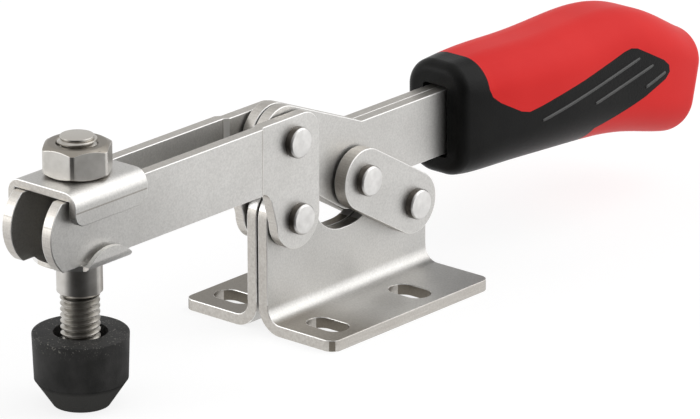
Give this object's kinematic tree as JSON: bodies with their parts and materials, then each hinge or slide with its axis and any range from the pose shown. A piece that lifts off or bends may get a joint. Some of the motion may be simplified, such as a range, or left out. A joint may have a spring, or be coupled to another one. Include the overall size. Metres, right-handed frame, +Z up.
{
  "type": "horizontal toggle clamp",
  "caption": "Horizontal toggle clamp with an open arm, a slotted base, a rubber-capped spindle and a moulded hand grip, locked closed.",
  "frame": {"origin": "centre of the four base slots, on the underside of the feet", "axes": "+X across the clamp, +Y along it from the spindle towards the hand grip, +Z up"},
  "size_m": [0.0408, 0.2041, 0.0563],
  "materials": {
    "sheet_steel": "bead-blasted stainless sheet",
    "pin_steel": "turned stainless",
    "cap_rubber": "moulded rubber",
    "grip_red": "satin moulded plastic",
    "grip_black": "fine-textured soft moulding"
  },
  "bodies": {
    "base": {"base_plate_near": "sheet_steel", "base_plate_far": "sheet_steel", "arm_pivot_rivet": "pin_steel", "link_base_rivet": "pin_steel", "arm_pivot_washers": "pin_steel", "link_base_washers": "pin_steel"},
    "arm": {"arm_plate_near": "sheet_steel", "arm_plate_far": "sheet_steel", "lever_pivot_rivet": "pin_steel", "lever_pivot_washers": "pin_steel"},
    "handle": {"lever_plate_near": "sheet_steel", "lever_plate_far": "sheet_steel", "grip_body": "grip_red", "grip_soft": "grip_black"},
    "links": {"link_near": "sheet_steel", "link_far": "sheet_steel", "link_lever_rivets": "pin_steel"},
    "carriage": {"saddle_washer": "sheet_steel", "lower_washer": "sheet_steel", "spindle_sleeve": "pin_steel", "hex_nut": "pin_steel"},
    "spindle": {"spindle": "pin_steel", "rubber_cap": "cap_rubber"}
  },
  "joints": [
    {"name": "arm_swing", "type": "hinge", "parent": "base", "child": "arm", "pos_m": [0, -0.0139, 0.02425], "axis": [-1, 0, 0], "range_deg": [0, 90]},
    {"name": "handle_swing", "type": "hinge", "parent": "arm", "child": "handle", "pos_m": [0, -0.01475, 0.04093], "axis": [1, 0, 0], "range_deg": [0, 147]},
    {"name": "link_swing", "type": "hinge", "parent": "base", "child": "links", "pos_m": [0, 0.0224, 0.01775], "axis": [-1, 0, 0], "range_deg": [0, 72]},
    {"name": "carriage_slide", "type": "slide", "parent": "arm", "child": "carriage", "axis": [0, 1, 0], "range_m": [-0.004, 0.024]},
    {"name": "spindle_height", "type": "slide", "parent": "carriage", "child": "spindle", "axis": [0, 0, 1], "range_m": [-0.0014, 0.0075]}
  ],
  "couplings": [
    {"joint": "handle_swing", "follows": "arm_swing", "ratio": 1.6278},
    {"joint": "link_swing", "follows": "arm_swing", "ratio": 0.795}
  ]
}
